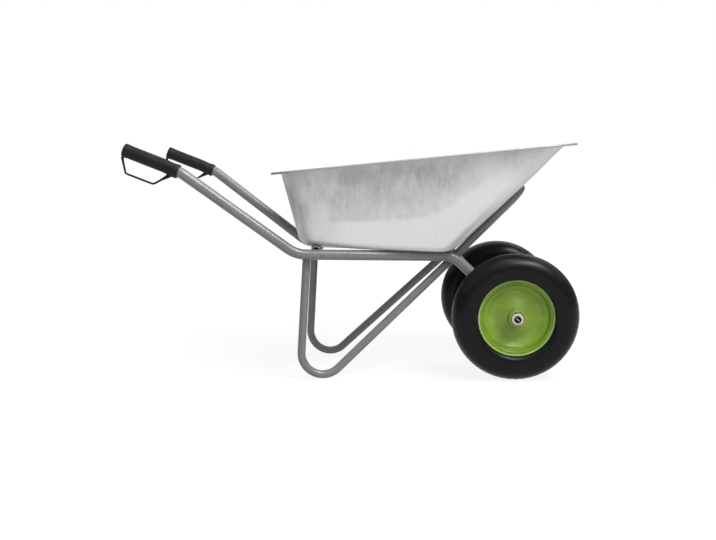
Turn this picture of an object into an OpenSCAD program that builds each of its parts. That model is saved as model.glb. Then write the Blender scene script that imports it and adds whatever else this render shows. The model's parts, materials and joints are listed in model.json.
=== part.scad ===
// Two-wheel wheelbarrow: a pressed sheet tray on a welded tube frame, two free wheels on one axle.
// Millimetres, +X forward to the wheels, +Y left, +Z up, ground at Z = 0.

/* [Wheels] */
// Position of the axle along the barrow
axle_x = 475.5; // [474:0.5:480]
// Outer diameter of the tyre
tyre_d = 380; // [376:1:384]
// Distance between the two wheel centres
track = 430; // [430:1:436]
// Diameter of the axle tube
axle_d = 20; // [18:0.5:20]
// Wall of the axle tube
axle_wall = 3; // [2:0.5:4]
// Length of the axle
axle_l = 542; // [540:1:550]
// Outer diameter of the hub tube
hub_d = 46; // [45:0.5:46]
// Diameter of the axle washers
washer_d = 36; // [30:1:40]

/* [Frame] */
// Diameter of the handle and rail tube
rail_d = 32; // [28:0.5:32]
// Diameter of the leg and arch tube
leg_d = 25; // [22:0.5:25]
// Diameter of the front crossbar
front_bar_d = 22; // [18:0.5:25]
// Wall of the frame tubes
tube_wall = 1.5; // [1:0.1:2]
// Bend radius of the handle in front of the grip
handle_bend_r = 48; // [40:1:50]
// Bend radius at the rear of the rail
rear_bend_r = 100; // [80:5:130]
// Bend radius at the front of the rail
front_bend_r = 75; // [60:5:85]
// Bend radius of the foot
foot_bend_r = 67; // [60:1:68]
// Corner radius of the front arch
arch_bend_r = 58; // [50:1:65]
// Half width of the front arch
arch_y = 103.5; // [98:0.5:103.5]

/* [Grips] */
// Diameter of the grip
grip_d = 40; // [37:0.5:42]
// Diameter of the hand guard loop
guard_d = 7; // [5:0.5:9]

/* [Tray] */
// Sheet thickness of the tray
sheet = 1.2; // [1:0.1:1.5]
// Width of the tray floor between its side walls
floor_w = 384; // [376:2:384]
// Lean of the side walls
side_draft = 13; // [10:0.5:14]
// Width of the rim on both sides
side_rim = 22; // [16:1:26]
// Height of the turned-down edge of the rim
hem_h = 6; // [4:0.5:8]

/* [Fasteners] */
// Diameter of the tray bolts
bolt_d = 8; // [6:1:8]
// Diameter of the domed bolt heads
bolt_head_d = 19; // [16:1:22]
// Width across flats of the nuts
nut_af = 13; // [13:1:14]
// Diameter of the split pins
pin_d = 3.8; // [3:0.2:3.8]

/* [Hidden] */
$fn = 64;

gap = 0.3;
fit = 0.05;
seam = 0.4;
axle_z = tyre_d / 2;

// Left handle, rail and drop tube, as corner points from the grip to the axle
grip_end = [-657.9, 263.7, 705.2];
grip_front = [-504.5, 264.5, 640.6];
handle_corner = on_line(grip_end, grip_front, -496);
rear_corner = [-176.5, 206, 388];
front_corner = [300.5, 131, 367];
drop_end = [axle_x, 146, axle_z];
tube_start = grip_end + 8 * unit(grip_front - grip_end);
rail_points = [tube_start, handle_corner, rear_corner, front_corner, drop_end];
rail_radii = [0, handle_bend_r, rear_bend_r, front_bend_r, 0];

// Left leg and diagonal, as corner points from under the tray to the arch
leg_top = [-146, 171.7, 398];
foot_corner = [-184.2, 187, -82.7];
leg_end = [283.5, arch_y, 342.5];
leg_points = [leg_top, foot_corner, leg_end];
leg_radii = [0, foot_bend_r, 0];

// Front arch
arch_top = [518.5, arch_y, 568.5];
arch_foot = leg_end - 4 * unit(arch_top - leg_end);
arch_points = [
    arch_foot, arch_top,
    [arch_top[0], -arch_top[1], arch_top[2]], [arch_foot[0], -arch_foot[1], arch_foot[2]]
];
arch_radii = [0, arch_bend_r, arch_bend_r, 0];

// Hand guard, in the upright plane of the grip
guard_points = [
    [-661.9, 263.7, 690], [-661.5, 263.7, 639.5], [-579.5, 264.1, 607.5], [-517.5, 264.4, 637.5]
];
guard_radii = [0, 10, 14, 0];

// Tray corners along X and Z, and the slopes of its floor and rim
tray_rear = [-167.5, 412.8];
tray_front = [292.5, 383.4];
rim_rear = [-219.5, 633.9];
rim_front = [629, 698.3];
rear_rim_w = 27;
front_rim_w = 30;
floor_slope = (tray_front[1] - tray_rear[1]) / (tray_front[0] - tray_rear[0]);
floor_tilt = -atan(floor_slope);
floor_round = 26;
rim_round = 6;
corner_low = [50, 58];
corner_high = [84, 104];
corner_rim = [104, 132];
corner_steps = 8;

// Flat middle of the tray floor
load_x = 65.5;
load_l = 300;
load_w = 220;

// Bars under the tray and the four bolts through its floor
rear_bar_x = -117;
front_bar_x = 304.5;
strap_x = 236;
strap_w = 30;
strap_t = 4;
strap_l = 262;
bolt_places = [[rear_bar_x, -105], [rear_bar_x, 105], [strap_x, -62], [strap_x, 62]];
bolt_grips = [leg_d + gap, leg_d + gap, strap_t + gap, strap_t + gap];

// Wheel sections: radius from the axle, distance from the wheel's middle plane outward
hub_in = 51;
hub_out = 46;
bearing_w = 12;
bush_l = 32;
bush_d = 34;
rim_sheet = 2;
rim_line = [
    [hub_d / 2 + gap, 1.2], [61, 1.2], [67, 2.1], [72, 4.6], [76.5, 8], [90, 12.4], [96, 13.6],
    [99.5, 15.6], [100.9, 18.6], [100.9, 21.5], [101.8, 24], [104.4, 25.4], [107.6, 25.8],
    [109.6, 26.8], [110.4, 28.6]
];

// Tyre section as depth under the tread and distance from the middle: an oval that closes in to the beads
tyre_half_w = 47.5;
tread_rise = 43;
bead_rise = 41;
bead = [[85.5, 23.2], [87.6, 21.4]];
tyre_outside = concat(
    [for (a = [0 : 7.5 : 90]) [tread_rise * (1 - cos(a)), tyre_half_w * sin(a)]],
    [for (a = [7.5 : 7.5 : 60]) [tread_rise + bead_rise * sin(a), tyre_half_w * cos(a)]],
    bead
);
tyre_inside = [
    [87.6, 13], [83, 12.5], [78, 19.4], [70, 29.4], [60, 35.6], [46.5, 38.4], [30, 37.2], [20, 33.4],
    [12, 25.5], [8.6, 14], [8, 0]
];
tube_ring = 143.5;
tube_r = 36.5;
valve_at = [87, -13];
valve_way = [0.8, 0.6];
valve_d = 7.6;
cap_d = 10;

// Colours for viewing
paint_grey = [0.49, 0.49, 0.48];
zinc = [0.72, 0.73, 0.72];
rubber = [0.12, 0.12, 0.13];
leaf_green = [0.42, 0.58, 0.18];
steel = [0.5, 0.5, 0.5];

function unit(v) = v / norm(v);
function flat(lists) = [for (l = lists) for (p = l) p];
function backward(l) = [for (i = [len(l) - 1 : -1 : 0]) l[i]];
function mix(a, b, t) = a + (b - a) * t;
function floor_z(x) = tray_rear[1] + floor_slope * (x - tray_rear[0]);
function on_line(a, b, x) = mix(a, b, (x - a[0]) / (b[0] - a[0]));

// Sheet of thickness t laid on both sides of a line
function turned(v) = [-v[1], v[0]];
function step_way(l, i) = unit(l[i + 1] - l[i]);
function corner_way(l, i) =
    i == 0 ? turned(step_way(l, 0))
    : i == len(l) - 1 ? turned(step_way(l, i - 1))
    : turned(step_way(l, i - 1) + step_way(l, i)) / (1 + step_way(l, i - 1) * step_way(l, i));
function sheet_on(l, t) = concat(
    [for (i = [0 : len(l) - 1]) l[i] + corner_way(l, i) * t / 2],
    backward([for (i = [0 : len(l) - 1]) l[i] - corner_way(l, i) * t / 2])
);

// Bend at corner i of a tube: sweep angle and length of the cut-back
function way_in(p, i) = unit(p[i] - p[i - 1]);
function way_out(p, i) = unit(p[i + 1] - p[i]);
function sweep_at(p, i) = acos(way_in(p, i) * way_out(p, i));
function cut_at(p, r, i) = r[i] == 0 ? 0 : r[i] * tan(sweep_at(p, i) / 2);

module straight(a, b, d) {
    way = b - a;
    translate(a)
        rotate([0, acos(way[2] / norm(way)), atan2(way[1], way[0])])
            cylinder(d = d, h = norm(way));
}

module bend(p, r, i, d) {
    u = way_in(p, i);
    n = unit(cross(u, way_out(p, i)));
    inward = cross(n, u);
    start = p[i] - u * cut_at(p, r, i);
    centre = start + inward * r[i];
    multmatrix([
        [-inward[0], u[0], n[0], centre[0]],
        [-inward[1], u[1], n[1], centre[1]],
        [-inward[2], u[2], n[2], centre[2]]
    ])
        rotate_extrude(angle = sweep_at(p, i), $fn = 128)
            translate([r[i], 0])
                circle(d = d);
}

// Rod of straights and bends, with a hair-thin seam ring where each bend starts and ends
module bent_rod(p, r, d, over = 0) {
    last = len(p) - 1;
    for (i = [0 : last - 1]) {
        u = way_out(p, i);
        a = i == 0 ? p[0] - u * over : p[i] + u * (cut_at(p, r, i) + seam / 2);
        b = i == last - 1 ? p[last] + u * over : p[i + 1] - u * (cut_at(p, r, i + 1) + seam / 2);
        straight(a, b, d);
    }
    for (i = [1 : last - 1]) {
        bend(p, r, i, d);
        seam_ring(p[i] - way_in(p, i) * cut_at(p, r, i), way_in(p, i), d);
        seam_ring(p[i] + way_out(p, i) * cut_at(p, r, i), way_out(p, i), d);
    }
}

module seam_ring(at, way, d) {
    straight(at - way * seam, at + way * seam, d + 0.1);
}

module bent_tube(p, r, d, wall) {
    difference() {
        bent_rod(p, r, d);
        bent_rod(p, r, d - 2 * wall, over = 1);
    }
}

module to_right() {
    mirror([0, 1, 0]) children();
}

module on_axle(y) {
    translate([axle_x, y, axle_z]) rotate([-90, 0, 0]) children();
}

module on_floor(x, y) {
    translate([x, y, floor_z(x)]) rotate([0, floor_tilt, 0]) children();
}

// Tray: rings of points from the floor out to the hem, on its underside and on its upper side
function tray_corners(rear, front, y_rear, y_front) = [
    [rear[0], -y_rear, rear[1]], [front[0], -y_front, front[1]],
    [front[0], y_front, front[1]], [rear[0], y_rear, rear[1]]
];
function wall_y(at) = floor_w / 2 + (at[1] - floor_z(at[0])) * tan(side_draft);
function lift(corners, t) = [
    for (i = [0 : 3]) corners[i] + t * [i == 0 || i == 3 ? 0.79 : -0.4, i < 2 ? 0.795 : -0.795, 1]
];
function ring(corners, rounds) = flat([
    for (i = [0 : 3])
        let (v = corners[i])
        let (r = i == 0 || i == 3 ? rounds[0] : rounds[1])
        let (back = r * unit(corners[(i + 3) % 4] - v))
        let (ahead = r * unit(corners[(i + 1) % 4] - v))
        [
            for (k = [0 : corner_steps])
                let (a = 90 * k / corner_steps)
                v + back * (1 - sin(a)) + ahead * (1 - cos(a))
        ]
]);
function spread(corners, rear, front, side) = [
    for (i = [0 : 3]) corners[i] + [i == 0 || i == 3 ? -rear : front, i < 2 ? -side : side, 0]
    + [0, 0, (i == 0 || i == 3 ? -rear : front) * spread_slope(corners)]
];
function spread_slope(c) = (c[1][2] - c[0][2]) / (c[1][0] - c[0][0]);
function toward(from, to, far) = [for (i = [0 : len(from) - 1]) from[i] + far * unit(to[i] - from[i])];
function rounded(a, v, b, steps) = [
    for (k = [0 : steps]) [
        for (i = [0 : len(v) - 1])
            v[i] + (a[i] - v[i]) * (1 - sin(90 * k / steps)) + (b[i] - v[i]) * (1 - cos(90 * k / steps))
    ]
];
function lowered(r, h) = [for (p = r) p - [0, 0, h]];
function tray_skin(t) =
    let (low = lift(tray_corners(tray_rear, tray_front, floor_w / 2, floor_w / 2), t))
    let (high = lift(tray_corners(rim_rear, rim_front, wall_y(rim_rear), wall_y(rim_front)), t))
    let (trim = sheet - t)
    let (inset = spread(low, -floor_round, -floor_round, -floor_round))
    let (inset_ring = ring(inset, corner_low - 0.9 * [floor_round, floor_round]))
    let (rim = spread(high, rear_rim_w - trim, front_rim_w - trim, side_rim - trim))
    let (low_ring = ring(low, corner_low))
    let (high_ring = ring(high, corner_high))
    let (rim_ring = ring(rim, corner_rim))
    concat(
        rounded(inset_ring, low_ring, toward(low_ring, high_ring, floor_round), 5),
        rounded(toward(high_ring, low_ring, rim_round), high_ring, toward(high_ring, rim_ring, rim_round), 3),
        [rim_ring, lowered(rim_ring, hem_h + t)]
    );

module tray_shell() {
    rings = concat(tray_skin(0), backward(tray_skin(sheet)));
    n = len(rings[0]);
    last = len(rings) - 1;
    walls = [
        for (k = [0 : last - 1])
            for (j = [0 : n - 1])
                for (side = [0, 1])
                    let (a = k * n + j)
                    let (b = k * n + (j + 1) % n)
                    side == 0 ? [a, a + n, b + n] : [a, b + n, b]
    ];
    ends = [[for (j = [0 : n - 1]) j], [for (j = [n - 1 : -1 : 0]) last * n + j]];
    polyhedron(points = flat(rings), faces = concat(walls, ends), convexity = 6);
}

module tray() {
    color(zinc)
        difference() {
            tray_shell();
            on_floor(load_x, 0)
                translate([-load_l / 2, -load_w / 2, sheet - 0.1]) cube([load_l, load_w, 5]);
            for (p = bolt_places) on_floor(p[0], p[1]) cylinder(d = bolt_d + 0.6, h = 20, center = true);
        }
}

module frame_tube() {
    difference() {
        bent_tube(rail_points, rail_radii, rail_d, tube_wall);
        on_axle(100) cylinder(d = bush_d + 2 * gap, h = 90);
    }
}

module right_frame_tube() {
    color(paint_grey) to_right() frame_tube();
}

module left_frame_tube() {
    color(paint_grey) frame_tube();
}

module leg_tube() {
    bent_tube(leg_points, leg_radii, leg_d, tube_wall);
}

module right_leg_tube() {
    color(paint_grey) to_right() leg_tube();
}

module left_leg_tube() {
    color(paint_grey) leg_tube();
}

// Front arch, its feet cut square to the legs that they stand on
module front_arch() {
    leg_way = unit(leg_end - foot_corner);
    color(paint_grey)
        difference() {
            bent_tube(arch_points, arch_radii, leg_d, tube_wall);
            for (side = [0, 1])
                mirror([0, side, 0]) straight(leg_end - 20 * leg_way, leg_end + gap * leg_way, leg_d + 8);
        }
}

// Round bar across the barrow
module across(x, z, d, l) {
    translate([x, 0, z]) rotate([90, 0, 0]) cylinder(d = d, h = l, center = true);
}

// Rear crossbar, coped to the rails at both ends
module rear_crossbar() {
    z = floor_z(rear_bar_x) - gap - leg_d / 2;
    rail_y = on_line(rear_corner, front_corner, rear_bar_x)[1];
    trim = 80;
    color(paint_grey)
        difference() {
            across(rear_bar_x, z, leg_d, 2 * rear_corner[1]);
            across(rear_bar_x, z, leg_d - 2 * tube_wall, 2 * rear_corner[1] + 2);
            for (side = [0, 1])
                mirror([0, side, 0]) {
                    straight(rear_corner, front_corner, rail_d + 2 * gap);
                    translate([rear_bar_x - trim / 2, rail_y, z - trim / 2]) cube(trim);
                }
            for (y = [-1, 1])
                on_floor(rear_bar_x, y * bolt_places[1][1])
                    cylinder(d = bolt_d + 0.6, h = trim, center = true);
        }
}

// Front crossbar, coped to the two sides of the arch
module front_crossbar() {
    at = on_line(arch_foot, arch_top, front_bar_x);
    color(paint_grey)
        difference() {
            across(at[0], at[2], front_bar_d, 2 * arch_y);
            across(at[0], at[2], front_bar_d - 2 * tube_wall, 2 * arch_y + 2);
            for (side = [0, 1]) mirror([0, side, 0]) straight(arch_foot, arch_top, leg_d + 2 * gap);
        }
}

// Flat strap between the rails that takes the front bolts
module tray_strap() {
    color(paint_grey)
        difference() {
            on_floor(strap_x, 0)
                translate([-strap_w / 2, -strap_l / 2, -gap - strap_t])
                    cube([strap_w, strap_l, strap_t]);
            for (side = [0, 1]) mirror([0, side, 0]) straight(rear_corner, front_corner, rail_d + 2 * gap);
            for (y = [-1, 1])
                on_floor(strap_x, y * bolt_places[3][1]) cylinder(d = bolt_d + 0.6, h = 40, center = true);
        }
}

module axle_bush() {
    difference() {
        on_axle(drop_end[1] - bush_l / 2) cylinder(d = bush_d, h = bush_l);
        on_axle(drop_end[1] - bush_l) cylinder(d = axle_d + 2 * fit, h = 2 * bush_l);
    }
}

module right_axle_bush() {
    color(paint_grey) to_right() axle_bush();
}

module left_axle_bush() {
    color(paint_grey) axle_bush();
}

// Places across the axle for the split pins, just outside the washers
pin_y = track / 2 + hub_out + 5.5;
pin_turn = 135;

module pin_way(y, d, l) {
    translate([axle_x, y, axle_z]) rotate([0, pin_turn, 0]) cylinder(d = d, h = l, center = true);
}

module axle() {
    color(steel)
        difference() {
            on_axle(-axle_l / 2) cylinder(d = axle_d, h = axle_l);
            on_axle(-axle_l / 2 - 1) cylinder(d = axle_d - 2 * axle_wall, h = axle_l + 2);
            for (y = [-pin_y, pin_y]) pin_way(y, pin_d + 0.4, 2 * axle_d);
        }
}

module axle_washers() {
    y = track / 2 + hub_out + 0.5;
    color(zinc)
        for (side = [0, 1])
            mirror([0, side, 0])
                difference() {
                    on_axle(y) cylinder(d = washer_d, h = 2.5);
                    on_axle(y - 1) cylinder(d = axle_d + 2 * fit, h = 5);
                }
}

module split_pins() {
    color(zinc) for (y = [-pin_y, pin_y]) pin_way(y, pin_d, axle_d + 10);
}

// Grip sleeve with its moulded hand guard
module grip() {
    way = grip_front - grip_end;
    difference() {
        union() {
            straight(grip_end, grip_front, grip_d);
            bent_rod(guard_points, guard_radii, guard_d);
        }
        straight(grip_end + 6 * unit(way), grip_front + 10 * unit(way), rail_d + 2 * fit);
    }
}

module right_grip() {
    color(rubber) to_right() grip();
}

module left_grip() {
    color(rubber) grip();
}

module tray_bolts() {
    dome_r = 14;
    tail = 13;
    head_gap = 0.15;
    dome_h = dome_r - sqrt(dome_r * dome_r - bolt_head_d * bolt_head_d / 4);
    color(zinc)
        for (i = [0 : 3])
            on_floor(bolt_places[i][0], bolt_places[i][1]) {
                translate([0, 0, sheet + head_gap])
                    intersection() {
                        translate([0, 0, dome_h - dome_r]) sphere(r = dome_r);
                        cylinder(d = bolt_head_d, h = dome_h);
                    }
                translate([0, 0, -bolt_grips[i] - tail])
                    cylinder(d = bolt_d, h = bolt_grips[i] + tail + sheet + head_gap);
            }
}

module tray_washers() {
    color(zinc)
        for (i = [0 : 3])
            on_floor(bolt_places[i][0], bolt_places[i][1])
                translate([0, 0, -bolt_grips[i] - 2.1])
                    difference() {
                        cylinder(d = 18, h = 1.6);
                        translate([0, 0, -1]) cylinder(d = bolt_d + 0.4, h = 4);
                    }
}

module tray_nuts() {
    color(zinc)
        for (i = [0 : 3])
            on_floor(bolt_places[i][0], bolt_places[i][1])
                translate([0, 0, -bolt_grips[i] - 8.9])
                    difference() {
                        linear_extrude(6.5)
                            polygon([for (a = [0 : 60 : 300]) nut_af / sqrt(3) * [cos(a), sin(a)]]);
                        translate([0, 0, -1]) cylinder(d = bolt_d + 0.2, h = 9);
                    }
}

// Left wheel pieces, turned about the axle line
module turned_at_wheel(points) {
    on_axle(track / 2) rotate_extrude($fn = 128) polygon(points);
}

module tyre() {
    r = tyre_d / 2;
    out_side = [for (p = tyre_outside) [r - p[0], p[1]]];
    in_side = [for (p = tyre_inside) [r - p[0], p[1]]];
    turned_at_wheel(concat(
        backward([for (i = [1 : len(out_side) - 1]) [out_side[i][0], -out_side[i][1]]]), out_side,
        in_side, backward([for (i = [0 : len(in_side) - 2]) [in_side[i][0], -in_side[i][1]]])
    ));
}

module inner_tube() {
    on_axle(track / 2)
        rotate_extrude($fn = 128)
            translate([tube_ring, 0])
                difference() {
                    circle(r = tube_r);
                    circle(r = tube_r - 2.5);
                }
}

module rim_outer() {
    turned_at_wheel(sheet_on(rim_line, rim_sheet));
}

module along_valve(s) {
    on_axle(track / 2)
        translate([valve_at[0] + s * valve_way[0], 0, valve_at[1] + s * valve_way[1]])
            rotate([0, atan2(valve_way[0], valve_way[1]), 0])
                children();
}

module rim_inner() {
    difference() {
        turned_at_wheel([for (p = sheet_on(rim_line, rim_sheet)) [p[0], -p[1]]]);
        along_valve(-8) cylinder(d = 9, h = 16);
    }
}

module valve() {
    along_valve(-24) cylinder(d = valve_d, h = 45.5);
}

module valve_cap() {
    along_valve(-27)
        difference() {
            cylinder(d = cap_d, h = 13);
            translate([0, 0, 2.7]) cylinder(d = valve_d + 0.2, h = 14);
        }
}

module hub() {
    on_axle(track / 2 - hub_in)
        difference() {
            cylinder(d = hub_d, h = hub_in + hub_out);
            translate([0, 0, -1]) cylinder(d = hub_d - 4, h = hub_in + hub_out + 2);
        }
}

module bearings() {
    for (y = [track / 2 - hub_in, track / 2 + hub_out - bearing_w])
        on_axle(y)
            difference() {
                cylinder(d = hub_d - 4 - 2 * fit, h = bearing_w);
                translate([0, 0, -1]) cylinder(d = axle_d + 2 * fit, h = bearing_w + 2);
            }
}

module right_tyre() {
    color(rubber) to_right() tyre();
}

module left_tyre() {
    color(rubber) tyre();
}

module right_inner_tube() {
    color(rubber) to_right() inner_tube();
}

module left_inner_tube() {
    color(rubber) inner_tube();
}

module right_rim_outer() {
    color(leaf_green) to_right() rim_outer();
}

module left_rim_outer() {
    color(leaf_green) rim_outer();
}

module right_rim_inner() {
    color(leaf_green) to_right() rim_inner();
}

module left_rim_inner() {
    color(leaf_green) rim_inner();
}

module right_hub() {
    color(leaf_green) to_right() hub();
}

module left_hub() {
    color(leaf_green) hub();
}

module right_bearings() {
    color(steel) to_right() bearings();
}

module left_bearings() {
    color(steel) bearings();
}

module right_valve() {
    color(rubber) to_right() valve();
}

module left_valve() {
    color(rubber) valve();
}

module right_valve_cap() {
    color(rubber) to_right() valve_cap();
}

module left_valve_cap() {
    color(rubber) valve_cap();
}

tray();
right_frame_tube();
left_frame_tube();
right_leg_tube();
left_leg_tube();
front_arch();
rear_crossbar();
front_crossbar();
tray_strap();
right_axle_bush();
left_axle_bush();
axle();
right_grip();
left_grip();
tray_bolts();
tray_washers();
tray_nuts();
axle_washers();
split_pins();
right_tyre();
right_inner_tube();
right_rim_outer();
right_rim_inner();
right_hub();
right_bearings();
right_valve();
right_valve_cap();
left_tyre();
left_inner_tube();
left_rim_outer();
left_rim_inner();
left_hub();
left_bearings();
left_valve();
left_valve_cap();
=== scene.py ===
import json
import math

import bmesh
import bpy
from mathutils import Matrix, Vector, noise


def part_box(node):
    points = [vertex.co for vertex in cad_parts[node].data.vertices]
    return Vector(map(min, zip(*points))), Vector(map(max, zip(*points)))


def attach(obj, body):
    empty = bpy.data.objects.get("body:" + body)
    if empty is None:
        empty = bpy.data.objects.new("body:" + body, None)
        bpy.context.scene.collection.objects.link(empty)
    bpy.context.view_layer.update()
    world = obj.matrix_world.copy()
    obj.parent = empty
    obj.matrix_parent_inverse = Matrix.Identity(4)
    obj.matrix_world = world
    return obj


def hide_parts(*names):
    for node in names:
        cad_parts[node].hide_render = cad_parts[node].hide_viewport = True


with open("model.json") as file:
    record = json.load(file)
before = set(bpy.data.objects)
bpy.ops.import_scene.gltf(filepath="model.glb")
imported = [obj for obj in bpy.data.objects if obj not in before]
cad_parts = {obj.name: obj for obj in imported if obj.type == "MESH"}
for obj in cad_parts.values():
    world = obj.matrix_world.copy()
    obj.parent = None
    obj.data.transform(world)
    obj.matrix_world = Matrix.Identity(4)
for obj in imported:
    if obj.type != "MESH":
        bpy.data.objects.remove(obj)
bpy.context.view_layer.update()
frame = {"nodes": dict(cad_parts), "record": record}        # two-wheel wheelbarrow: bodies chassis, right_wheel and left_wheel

scene = bpy.context.scene
mm = 0.001
sides = (("right", -1), ("left", 1))
axleAt = Vector((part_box("axle")[0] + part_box("axle")[1]) / 2)
print("frame loaded:", len(frame["nodes"]), "nodes")


# camera, at the photograph's viewing angle
viewPoint = {
    "place": (0.0738, -2.7449, 0.6507),
    "yaw": -1.485,
    "down": 7.017,
    "roll": -1.199,
    "focalPixels": 854.69,
    "imageWidth": 716,
    "sensor": 36.0,
    "clip": (0.05, 60.0),
}


def makeCamera(v):
    data = bpy.data.cameras.new("viewCamera")
    data.sensor_fit = "HORIZONTAL"
    data.sensor_width = v["sensor"]
    data.lens = v["focalPixels"] * v["sensor"] / v["imageWidth"]
    data.clip_start, data.clip_end = v["clip"]
    cam = bpy.data.objects.new("viewCamera", data)
    stand = Matrix.Translation(v["place"])
    for degrees, axis in ((-v["yaw"], "Z"), (90 - v["down"], "X"), (v["roll"], "Z")):
        stand = stand @ Matrix.Rotation(math.radians(degrees), 4, axis)
    cam.matrix_world = stand
    scene.collection.objects.link(cam)
    scene.camera = cam


makeCamera(viewPoint)
scene.view_settings.view_transform = "Standard"
print("camera set")


# node building, shared by the materials below
def addNode(tree, kind, **values):
    node = tree.nodes.new(kind)
    for key, value in values.items():
        if key in node.inputs:
            node.inputs[key].default_value = value
        else:
            setattr(node, key, value)
    return node


def wire(tree, source, target):
    tree.links.new(source, target)


def feed(tree, value, socket):
    # numbers and colours are set on the socket, outputs are wired to it
    if isinstance(value, (int, float)):
        socket.default_value = value
    elif isinstance(value, tuple):
        socket.default_value = (*value, 1)
    else:
        wire(tree, value, socket)


def mathNode(tree, operation, *values):
    node = addNode(tree, "ShaderNodeMath", operation=operation)
    for socket, value in zip(node.inputs, values):
        feed(tree, value, socket)
    return node.outputs[0]


def rangeNode(tree, value, low, high, toLow=0.0, toHigh=1.0, shape="SMOOTHSTEP"):
    node = addNode(tree, "ShaderNodeMapRange", clamp=True, interpolation_type=shape)
    for socket, number in zip(node.inputs, (value, low, high, toLow, toHigh)):
        feed(tree, number, socket)
    return node.outputs["Result"]


def mixColour(tree, mask, first, second, blend="MIX"):
    node = addNode(tree, "ShaderNodeMix", data_type="RGBA", blend_type=blend)
    for socket, value in zip((node.inputs[0], node.inputs[6], node.inputs[7]), (mask, first, second)):
        feed(tree, value, socket)
    return node.outputs[2]


def noiseNode(tree, vector, scale, detail=4.0, roughness=0.55):
    node = addNode(tree, "ShaderNodeTexNoise", Detail=detail, Roughness=roughness)
    wire(tree, vector, node.inputs["Vector"])
    feed(tree, scale, node.inputs["Scale"])
    return node.outputs["Fac"]


def stretched(tree, vector, scale):
    node = addNode(tree, "ShaderNodeMapping", Scale=scale)
    wire(tree, vector, node.inputs["Vector"])
    return node.outputs["Vector"]


def objectPlace(tree):
    return addNode(tree, "ShaderNodeTexCoord").outputs["Object"]


def pieceValue(tree, name):
    # value that a piece carries on its vertices
    return addNode(tree, "ShaderNodeAttribute", attribute_name=name).outputs["Fac"]


def newGroup(name, inputs, outputs):
    group = bpy.data.node_groups.new(name, "ShaderNodeTree")
    for way, sockets in (("INPUT", inputs), ("OUTPUT", outputs)):
        for socket in sockets:
            kind = "NodeSocketColor" if socket in ("Tone", "Shade", "Color") else "NodeSocketFloat"
            group.interface.new_socket(name=socket, in_out=way, socket_type=kind)
    return group, group.nodes.new("NodeGroupInput").outputs, group.nodes.new("NodeGroupOutput").inputs


def placeGroup(tree, group, **values):
    node = addNode(tree, "ShaderNodeGroup", node_tree=group)
    for key, value in values.items():
        feed(tree, value, node.inputs[key])
    return node.outputs


# soft cloudy change of tone, in object space
def mottleGroup():
    group, inside, out = newGroup("softMottle", ["Tone", "Shade", "Scale"], ["Color"])
    cloud = noiseNode(group, objectPlace(group), inside["Scale"], detail=5.0, roughness=0.6)
    mask = rangeNode(group, cloud, low=0.32, high=0.68)
    wire(group, mixColour(group, mask, inside["Tone"], inside["Shade"]), out["Color"])
    return group


# fine grain for bump, half mixed with a broad one for roughness
def grainGroup():
    group, inside, out = newGroup("fineGrain", ["Scale", "Low", "High"], ["Height", "Roughness"])
    place = objectPlace(group)
    fine = noiseNode(group, place, inside["Scale"], detail=3.0, roughness=0.5)
    broad = noiseNode(group, place, scale=14.0)
    both = mathNode(group, "MULTIPLY_ADD", fine, 0.5, mathNode(group, "MULTIPLY", broad, 0.5))
    wire(group, fine, out["Height"])
    wire(group, rangeNode(group, both, 0.3, 0.7, inside["Low"], inside["High"], "LINEAR"), out["Roughness"])
    return group


# rubbed edges and painted highlights: the piece's own attribute of wear and painted light, broken up by
# noise
def rubAndHighlightGroup():
    group, inside, out = newGroup("rubAndHighlight", ["Amount", "Break"], ["Mask"])
    chips = noiseNode(group, objectPlace(group), inside["Break"], detail=4.0, roughness=0.65)
    broken = rangeNode(group, chips, low=0.36, high=0.60)
    wornAndHighlight = mathNode(group, "MULTIPLY", pieceValue(group, "wearAndPaintedLight"), broken)
    wire(group, mathNode(group, "MULTIPLY", wornAndHighlight, inside["Amount"]), out["Mask"])
    return group


# pale dust in thin patches
def dustGroup():
    group, inside, out = newGroup("thinDust", ["Scale", "Amount"], ["Mask"])
    patch = noiseNode(group, objectPlace(group), inside["Scale"], detail=7.0, roughness=0.7)
    mask = rangeNode(group, patch, low=0.45, high=0.75)
    wire(group, mathNode(group, "MULTIPLY", mask, inside["Amount"]), out["Mask"])
    return group


mottle, grain, rubAndHighlight, thinDust = mottleGroup(), grainGroup(), rubAndHighlightGroup(), dustGroup()


def emptyTree(owner):
    owner.use_nodes = True
    owner.node_tree.nodes.clear()
    return owner.node_tree


def newMaterial(name, **shader):
    material = bpy.data.materials.new(name)
    tree = emptyTree(material)
    surface = addNode(tree, "ShaderNodeBsdfPrincipled")
    for socket, value in shader.items():
        surface.inputs[socket.replace("_", " ")].default_value = value
    wire(tree, surface.outputs["BSDF"], addNode(tree, "ShaderNodeOutputMaterial").inputs["Surface"])
    return material, tree, surface


def addBump(tree, surface, height, strength, depth):
    bump = addNode(tree, "ShaderNodeBump", Strength=strength, Distance=depth)
    wire(tree, height, bump.inputs["Height"])
    wire(tree, bump.outputs["Normal"], surface.inputs["Normal"])


def overlay(tree, colour, tone, group, **values):
    # lays a tone over a colour where the group's mask says
    return mixColour(tree, placeGroup(tree, group, **values)["Mask"], colour, tone)


def addFinish(tree, surface, colour, scale, low, high, strength=0.0, depth=0.0):
    # colour, with grain in the roughness and, where a strength is given, in the bump
    wire(tree, colour, surface.inputs["Base Color"])
    finish = placeGroup(tree, grain, Scale=scale, Low=low, High=high)
    wire(tree, finish["Roughness"], surface.inputs["Roughness"])
    if strength:
        addBump(tree, surface, finish["Height"], strength, depth)
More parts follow.
